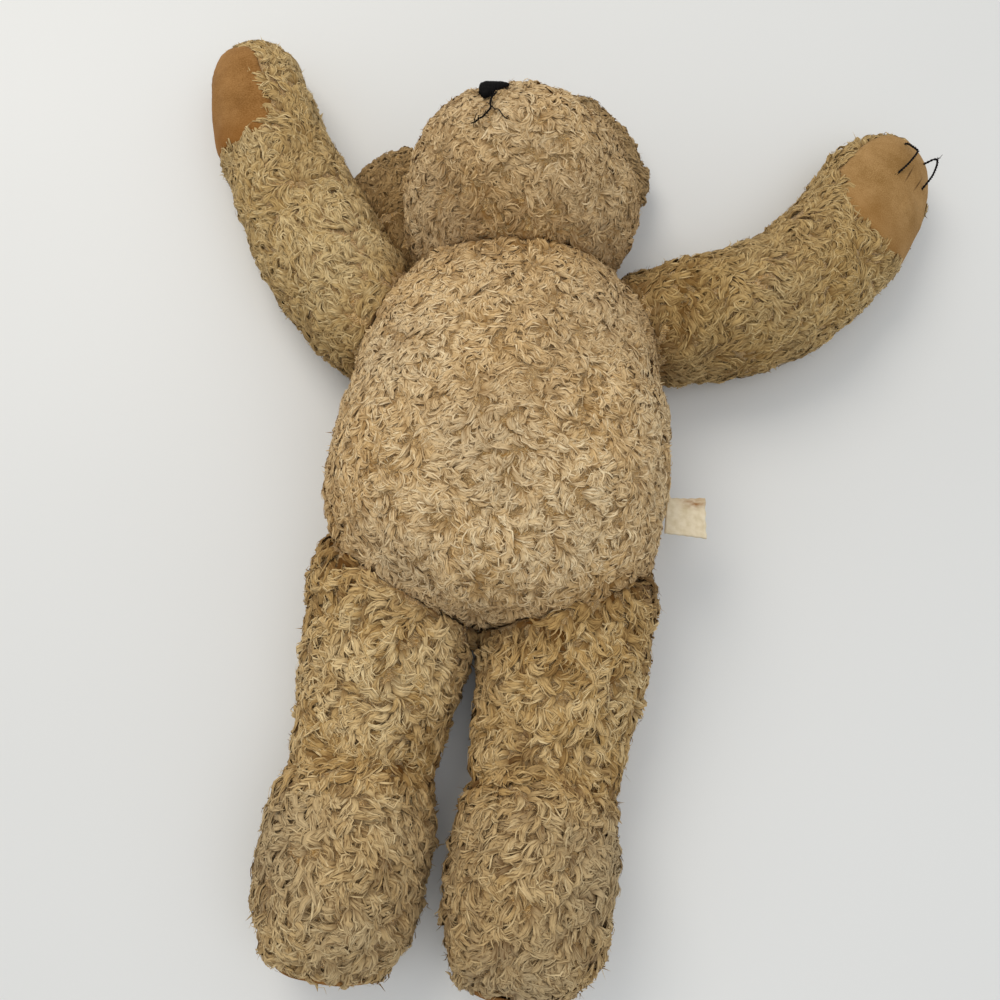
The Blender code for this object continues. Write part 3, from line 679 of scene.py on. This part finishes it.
def smooth_line(knots, step):
    """Evenly spaced points on a smooth curve through the knots, which are in millimetres."""
    knots = np.array(knots, float) * MM
    ends = np.vstack([2 * knots[0] - knots[1], knots, 2 * knots[-1] - knots[-2]])
    run = [0.5 * (2 * b + (c - a) * t + (2 * a - 5 * b + 4 * c - d) * t * t + (3 * b - a - 3 * c + d) * t ** 3)
           for a, b, c, d in zip(ends, ends[1:], ends[2:], ends[3:]) for t in np.linspace(0, 0.9, 10)]
    run = np.array(run + [knots[-1]])
    gone = run_of(run)
    even = np.linspace(0, gone[-1], max(4, int(gone[-1] / step) + 1))
    return np.stack([np.interp(even, gone, run[:, k]) for k in range(3)], -1)


def sides_of(line):
    """The two ways square to a line at each of its points, turning as little as they can."""
    ways = unit(np.gradient(line, axis=0))
    side = np.cross(ways[0], (0.3, 0.2, 0.93))
    first, second = [], []
    for way in ways:
        side = side - way * (side @ way)
        side /= np.linalg.norm(side)
        first.append(side)
        second.append(np.cross(way, side))
    return np.array(first), np.array(second)


def threads(name, strands, stands_for):
    """One piece of thread: strands are (line, radius along it, how flat), with six sides each."""
    corners, faces = [], []
    turns = [k * math.pi / 3 for k in range(6)]
    for line, radius, flat in strands:
        first, second = sides_of(line)
        radius = np.broadcast_to(radius, len(line))
        start = len(corners)
        for point, one, two, wide in zip(line, first, second, radius):
            corners += [point + (one * math.cos(turn) + two * flat * math.sin(turn)) * wide for turn in turns]
        for r in range(len(line) - 1):
            low = start + 6 * r
            faces += [(low + k, low + (k + 1) % 6, low + 6 + (k + 1) % 6, low + 6 + k) for k in range(6)]
        faces += [tuple(start + k for k in range(5, -1, -1)), tuple(len(corners) - 6 + k for k in range(6))]
    mesh = bpy.data.meshes.new(name)
    mesh.from_pydata(corners, [], faces)
    mesh.shade_smooth()
    mesh.materials.append(thread_finish)
    made = placed(name, mesh)
    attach(made, "root")
    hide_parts(stands_for)


head_solid = solid_tree([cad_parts["head"].data])
chance = np.random.default_rng(61)
nose_stitches = []
for x in np.linspace(-8.0, 8.6, 23):
    high = np.interp(x, (-8, -6, -4, 0, 4, 8.6), (4.0, 5.4, 6.4, 6.8, 7.0, 6.6)) + chance.normal(0, 0.2)
    low = np.interp(x, (-8, -6, -5, -3, 0, 3, 6, 8.6), (0.2, -4.2, -7.4, -7.7, -6.3, -2.0, 1.3, 4.1))
    puffed = np.interp(x, (-8, -7.2, -6, -3, 0, 3, 6, 8.6), (0.4, 2.6, 4.2, 4.6, 3.7, 2.7, 1.8, 0.3))
    low += chance.normal(0, 0.25)
    run = np.linspace(0, 1, 11)
    rows = low + (high - low) * run
    lean = (x + 0.5 * (run - 0.5) + chance.normal(0, 0.08)) * MM
    top = nose_patch.middle + np.outer(lean, nose_patch.across) + np.outer(rows * MM, nose_patch.up)
    ground = [head_solid.ray_cast(Vector(p + nose_patch.out * 0.02), Vector(-nose_patch.out))[0] for p in top]
    swell = ((puffed + 1.2) * np.sin(np.pi * run ** 1.3) ** 0.35 - 1.2) * MM
    nose_stitches.append((np.array(ground) + np.outer(swell, nose_patch.out), 0.62 * MM, 0.8))
threads("nose_stitches", nose_stitches, "nose")


def twisted(line, thickness, pitch):
    """The two plies of a twisted thread, each a strand round the line."""
    first, second = sides_of(line)
    gone = run_of(line)
    taper = np.clip(np.minimum(gone, gone[-1] - gone) / (1.5 * thickness), 0.3, 1)
    for start in (0, math.pi):
        turn = 2 * math.pi * gone / pitch + start
        ply = line + (first * np.cos(turn)[:, None] + second * np.sin(turn)[:, None]) * thickness * 0.24
        yield ply, thickness * 0.29 * taper, 1


def frayed(end, way, count, length, chance):
    """Loose fibres at the end of a thread or where it is worn."""
    for _ in range(count):
        bend = np.array(way) + chance.normal(0, 0.6, 3)
        stray = end / MM + np.outer((0, 0.4, 0.75, 1), bend) * length + chance.normal(0, 0.3, (4, 3))
        yield smooth_line(stray, 0.5 * MM), 0.15 * MM, 1


mouth_right = smooth_line([
    (-41.9, 196.7, 141.2), (-43.2, 192.9, 143.2), (-44.3, 189.5, 144.4), (-44.7, 186.4, 145.2),
    (-44.1, 183.3, 146.1), (-44.4, 180.8, 146.4), (-45.8, 178.6, 146.1), (-47.6, 176.5, 145.4),
    (-49.8, 175.0, 144.8), (-51.4, 173.8, 144.1), (-53.0, 172.5, 143.0)], 0.5 * MM)
mouth_left = smooth_line([
    (-44.2, 184.0, 145.2), (-41.8, 182.2, 144.6), (-39.4, 180.8, 146.6), (-37.0, 178.2, 145.8),
    (-35.6, 176.2, 146.6), (-34.0, 174.5, 147.4)], 0.5 * MM)
mouth_right += chance.normal(0, 0.10 * MM, mouth_right.shape)
worn_places = [strand for k in range(4, len(mouth_right), 5)
               for strand in frayed(mouth_right[k], chance.normal(0, 0.5, 3) + (0, 0, 0.4), 3, 2.4, chance)]
threads("mouth_thread_right", [
    *twisted(mouth_right, 1.2 * MM, 3.2 * MM), *worn_places,
    *frayed(mouth_right[10], (0.5, 0.2, 0.5), 6, 3.0, chance),
    *frayed(mouth_right[-2], (-0.5, -0.7, 0.5), 6, 1.9, chance)], "mouth_stitch_right")
threads("mouth_thread_left", [
    *twisted(mouth_left, 0.75 * MM, 2.8 * MM), *frayed(mouth_left[-1], (0.5, 0.2, 0.7), 5, 1.6, chance)],
    "mouth_stitch_left")

# Eyes: two dark moulded domes with a narrow rim, each held by a shank through the cloth. They look out of
# the pile on the far side of the head.


def dark_eye_glass():
    """Moulded dark brown glass: near black, with a sharp highlight and faint handling scratches."""
    made, tree, shader = new_finish("dark_brown_eye_glass", IOR=1.5, Coat_Weight=0.5)
    place = add(tree, "TexCoord")
    rubbed = add(tree, "TexNoise", {"Vector": place.outputs["Object"], "Scale": 400.0, "Detail": 5.0})
    tone = add(tree, "ValToRGB", {"Fac": rubbed}, [(0.3, "#0e0806"), (0.7, "#1f120b")])
    dull = add(tree, "MapRange", {"Value": rubbed, **from_to(0.4, 0.8, 0.06, 0.30)})
    join(shader, {"Base Color": tone, "Roughness": dull})
    return made


eye_glass = dark_eye_glass()
eye_profile = [(5.9, -1.5), (6.1, -0.4), (5.9, 0.1), (5.4, 0.3), (5.1, 0.9), (4.6, 2.0), (3.8, 3.0), (2.6, 3.8),
               (1.3, 4.2), (0.01, 4.3)]
for node, patch in eye_patches.items():
    corners = np.array([[patch.middle + (patch.across * wide * math.cos(turn) + patch.up * wide * math.sin(turn)
                                         + patch.out * high) * MM
                         for turn in np.linspace(0, 2 * math.pi, 41)] for wide, high in eye_profile])
    dome = grid_mesh(node + "_dome", corners, "dome_uv", np.stack(np.meshgrid(
        np.linspace(0, 1, len(eye_profile)), np.linspace(0, 1, 41), indexing="ij"), -1))
    dome.data.materials.append(eye_glass)
    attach(dome, "root")
    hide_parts(node)

# Ears: two flat floppy rounds of the darker, less rubbed pile, each a front and a back that are sewn
# together, turned, and sewn on behind the cheeks.

ear_pile = curly_pile("soiled_mohair_pile", "#5b3f16", "#a08050", "#c9ab7b", "#a48c66")
# the right ear is given a lower tone than the left: painted shade where it lies beside the raised right arm
for part, seed, tone in (("ear_left", 51, 0.60), ("ear_right", 52, 0.41)):
    ear_locks = Pile(tufts=9.0, length=8.8 * MM, width=3.4 * MM, rise=1.6 * MM, lay=towards(0.6, -1, 0),
                     sway=1.2, spread=0.40, curl=(0.4, 2.0), tone=tone, hue=0.30)
    dressed(part, ear_locks, ear_pile, seed)

# Arms: two stuffed tubes, sewn on at the shoulders, with the pile lying along them towards the paw. They are
# dressed with their pads, in the next section.

limb_pile = curly_pile("matted_mohair_pile", "#67440e", "#b7975e", "#dec795", "#b29c72")


def along(*line):
    """A lay that runs along a line of x and y places in millimetres."""
    line = np.array(line) * MM
    middles = (line[:-1] + line[1:]) / 2
    ways = unit(np.diff(line, axis=0))

    def lay(places):
        near = np.linalg.norm(places[:, None, :2] - middles, axis=2)
        share = np.exp(-near / (25 * MM))
        flat = (share / share.sum(1)[:, None]) @ ways
        return np.concatenate([flat, np.zeros((len(places), 1))], 1)

    return lay


arm_lays = {
    "left": along((47, 101.5), (106, 113), (161, 136), (194, 173), (213, 219), (232, 276)),
    "right": along((-93, 67.5), (-134, 111), (-171.5, 158), (-196, 201.5), (-215, 248), (-237, 303.5))}

# Paw pads: patches of tan suede, cut a little square, turned in and sewn along the edge. The nap is rubbed
# pale in the middle and has kept a deeper orange beside the pile.

pad_unit = 160 * MM         # the size of one unit of the suede's pattern
pad_stride = 1.5 * MM       # the suede is laid on the cloth outwards from its middle, in steps of this length
pads = {
    "left": Patch((220.7, 214.7, 21.9), (0.8866, -0.6859, -0.187), (0.6229, 0.9115, -0.1766), (46, 57), 3),
    "right": Patch((-215.2, 247.0, 29.2), (0.5017, 0.3461, 0.7928), (-0.0842, 1.1073, 0.2636), (37, 46), 4)}


def napped_suede(name, pale, tan, orange, kept, marks=()):
    """Suede split: a dull short nap, mottled by handling. The nap is drawn at 1 mm to show."""
    made, tree, shader = new_finish(name, Roughness=0.92, Sheen_Weight=0.15, Sheen_Roughness=0.4,
                                    Sheen_Tint=from_hex("#e8c090"), Specular_IOR_Level=0.1)
    spot = add(tree, "UVMap", uv_map="pad_uv")
    cloud = add(tree, "TexNoise", {"Vector": spot, "Scale": 6.0, "Detail": 2.0})
    blotch = add(tree, "TexNoise", {"Vector": spot, "Scale": 34.0, "Detail": 4.0})
    nap = add(tree, "TexNoise", {"Vector": spot, "Scale": 170.0, "Detail": 3.0})
    mixed = add(tree, "Math", {0: blotch, 1: 0.4, 2: cloud}, operation="MULTIPLY_ADD")
    fine = add(tree, "Math", {0: nap, 1: 1.2, 2: mixed}, operation="MULTIPLY_ADD")
    share = add(tree, "MapRange", {"Value": fine, **from_to(1.0, 1.6)})
    tone = add(tree, "ValToRGB", {"Fac": share}, [(0.0, tan), (1.0, pale)])
    ways = add(tree, "SeparateXYZ", {0: spot})
    wavy = add(tree, "Math", {0: cloud, 1: 0.16, 2: ways.outputs["Y"]}, operation="MULTIPLY_ADD")
    low = add(tree, "MapRange", {"Value": wavy, **from_to(0.22, 0.50, kept, 0.0)},
              interpolation_type="SMOOTHSTEP")
    colour = add(tree, "Mix", {"Factor": low, "A": tone, "B": from_hex(orange)}, data_type="RGBA")
    for middle, turn, half in marks:        # the dents that lost claw stitches have left
        where = add(tree, "Mapping", {"Vector": spot, "Location": (*middle, 0), "Rotation": (0, 0, turn),
                                      "Scale": (*half, 1)}, vector_type="TEXTURE")
        dent = add(tree, "TexGradient", {"Vector": where}, gradient_type="SPHERICAL")
        faint = add(tree, "Math", {0: dent.outputs["Fac"], 1: 1.1}, operation="MULTIPLY")
        colour = add(tree, "Mix", {"Factor": faint, "A": colour, "B": from_hex("#4a3018")}, data_type="RGBA")
    both = add(tree, "Math", {0: nap, 1: blotch}, operation="ADD")
    rise = add(tree, "Bump", {"Height": both, "Distance": 0.35 * MM, "Strength": 0.7})
    join(shader, {"Base Color": colour, "Normal": rise})
    return made


def outer_skin(pad, cloth, patch):
    """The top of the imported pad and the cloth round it, as one tree to lay the suede on."""
    top = [face for face in pad.polygons if face.normal @ Vector(patch.out) > 0.12]
    places = [corner.co for corner in pad.vertices]
    faces = [list(face.vertices) for face in top]
    on_top = BVHTree.FromPolygons(places, faces)
    start = len(places)
    places += [corner.co for corner in cloth.vertices]
    faces += [[start + k for k in face.vertices] for face in cloth.polygons
              if on_top.find_nearest(face.center)[3] > 3.2 * MM]
    return BVHTree.FromPolygons(places, faces)


def let_in_suede(name, node, form, patch, rings, spokes, finish):
    """A suede patch that follows the stuffed form, slack and lumpy, with its sewn edge drawn in."""
    tree = outer_skin(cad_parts[node].data, form.data, patch)
    start, facing = tree.ray_cast(Vector(patch.middle + patch.out * 0.09), Vector(-patch.out))[:2]
    start, first_facing = np.array(start), np.array(facing)
    lines = []
    for turn in np.linspace(0, 2 * math.pi, spokes + 1):
        heading = patch.across * math.cos(turn) * patch.half[0] + patch.up * math.sin(turn) * patch.half[1]
        heading /= np.linalg.norm(heading)
        line, facing = [start], first_facing
        while len(line) < 70:
            step = heading - facing * (heading @ facing)
            place, out = tree.find_nearest(Vector(line[-1] + step / np.linalg.norm(step) * pad_stride))[:2]
            if patch.ring(np.array(place)) > 1 or out @ Vector(patch.out) < -0.15:
                break
            line.append(np.array(place))
            facing = np.array(out)
        gone = np.linspace(0, 1, len(line))
        share = np.linspace(0, 1, rings) ** 0.9
        lines.append(np.stack([np.interp(share, gone, np.array(line)[:, k]) for k in range(3)], -1))
    grid = np.array(lines)
    grid[-1] = grid[0]
    for _ in range(4):
        around = (np.roll(grid[:-1], 1, axis=0) + np.roll(grid[:-1], -1, axis=0)) / 2
        grid[:-1, 1:] = grid[:-1, 1:] * 0.6 + around[:, 1:] * 0.4
        grid[:-1, 1:-1] = grid[:-1, 1:-1] * 0.6 + (grid[:-1, :-2] + grid[:-1, 2:]) * 0.2
        grid[-1] = grid[0]
    flat = grid.reshape(-1, 3)
    out = np.array([tree.find_nearest(Vector(p))[1] for p in flat])
    out = unit(out * 0.5 + patch.out * 0.5)
    at = np.tile(np.linspace(0, 1, rings), spokes + 1)
    around = np.repeat(np.linspace(0, 2 * math.pi, spokes + 1), rings)
    slack = waves(flat, 26 * MM, 71) * 0.45 * MM * (1 - at ** 4)
    pucker = 0.22 * MM * np.sin(around * 26) * np.clip((at - 0.8) / 0.2, 0, 1)
    tuck = -1.3 * MM * np.clip((at - 0.9) / 0.1, 0, 1) ** 1.5
    laid = (flat + out * (0.9 * MM + slack + pucker + tuck)[:, None]).reshape(spokes + 1, rings, 3)
    patch_piece = grid_mesh(name, laid, "pad_uv", 0.5 + patch.spot(laid) / pad_unit)
    weld = patch_piece.modifiers.new("close the round", "WELD")
    weld.merge_threshold = 0.02 * MM
    hide = patch_piece.modifiers.new("suede", "SOLIDIFY")
    hide.thickness = 1.1 * MM
    patch_piece.data.materials.append(finish)
    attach(patch_piece, "root")
    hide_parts(node)
    turnwise, outwards = np.diff(laid, axis=0), np.diff(laid, axis=1)
    area = np.linalg.norm(np.cross(turnwise[:, 1:], outwards[1:]), axis=2).sum()
    spans = np.linalg.norm(outwards, axis=2).sum(1)
    return patch_piece


left_suede = napped_suede("rubbed_tan_suede", "#b08b5a", "#896637", "#926734", 0.5, marks=(
    ((0.4657, 0.5739), 1.710, (0.084, 0.0054)), ((0.5289, 0.5897), 1.652, (0.080, 0.0050))))
right_suede = napped_suede("soiled_tan_suede", "#a37846", "#7c5427", "#885620", 0.85)
# the left arm is given a lower tone than the right: painted shade on the side away from the window
for side, seed, tone, suede in (("left", 31, 0.41, left_suede), ("right", 32, 0.57, right_suede)):
    arm_locks = Pile(tufts=8.0, length=11.0 * MM, width=3.9 * MM, rise=2.0 * MM, lay=arm_lays[side], sway=0.9,
                     spread=0.32, curl=(0.3, 1.8), tone=tone, hue=0.25)
    dressed("arm_" + side, arm_locks, limb_pile, seed, patches=(pads[side],),
            sewn_on=lambda form: let_in_suede("paw_suede_" + side, "paw_pad_" + side, form, pads[side], 20, 72,
                                              suede))

# Claws: only two of the left paw's black stitches are left. Each is a loop of twisted thread pulled slack,
# with a worn kink where it once went round the edge of the paw.

upper_claw = [(231.0, 257.6, 42.6), (232.4, 255.4, 47.6), (234.6, 250.6, 51.5), (236.9, 246.2, 53.9),
              (236.6, 244.6, 54.6), (234.2, 240.2, 56.0), (228.8, 232.1, 58.0), (223.0, 225.4, 58.2),
              (220.5, 222.7, 57.2)]
lower_claw = [(245.2, 246.0, 38.4), (248.0, 245.4, 43.3), (250.9, 246.4, 45.2), (253.0, 245.8, 46.2),
              (252.6, 241.2, 47.0), (249.4, 232.5, 48.0), (245.6, 226.1, 49.0), (241.7, 220.8, 44.6)]
for which, knots in (("upper", upper_claw), ("lower", lower_claw)):
    line = smooth_line(knots, 0.6 * MM)
    worn = int(np.argmax(np.linalg.norm(line - (line[0] + line[-1]) / 2, axis=1)))
    threads("claw_loop_" + which, [
        *twisted(line, 1.6 * MM, 4.6 * MM), *frayed(line[worn], (0.4, 0.1, 0.4), 7, 2.2, chance)],
        "claw_thread_" + which)

# Legs: two stuffed tubes with their feet, the longest and least rubbed pile, creased across the ankle and
# above the knee, with an oval suede sole let into each foot.

leg_pile = curly_pile("long_mohair_pile", "#603c0b", "#bd9a60", "#e8cf9c", "#b6a17c")
ankle = -0.187


def creases(places):
    """How far the cloth is folded in at the ankle and above the knee."""
    sway = 5 * MM * np.sin(places[:, 0] / (17 * MM))
    deep = np.exp(-((places[:, 1] - ankle - sway) / (7 * MM)) ** 2)
    slight = np.exp(-((places[:, 1] + 0.108 + sway * 1.6) / (6 * MM)) ** 2)
    return (4.0 * deep + 2.2 * slight) * MM


# the pile is darker in the creases at the ankle and above the knee: painted shade
leg_locks = Pile(tufts=7.1, length=12.5 * MM, width=4.2 * MM, rise=2.9 * MM, lay=towards(0, -1, 0), sway=1.1,
                 spread=0.36, curl=(0.3, 2.1), tone=0.61, hue=0.08, painted_parting_shade=0.46,
                 painted_shade=lambda places: -45 * creases(places),
                 fading=lambda places: 0.45 * np.clip((ankle - places[:, 1]) / (25 * MM), 0, 1))
for side, seed, x in (("left", 41, 19.24), ("right", 42, -86.76)):
    sole = Patch((x, -263.74, 36.5), (1, 0, 0), (0, 0, 1), (29, 27.5))
    dressed("leg_" + side, leg_locks, leg_pile, seed, patches=(sole,), creases=creases,
            sewn_on=lambda form: let_in_suede("sole_suede_" + side, "foot_pad_" + side, form, sole, 14, 48,
                                              right_suede))
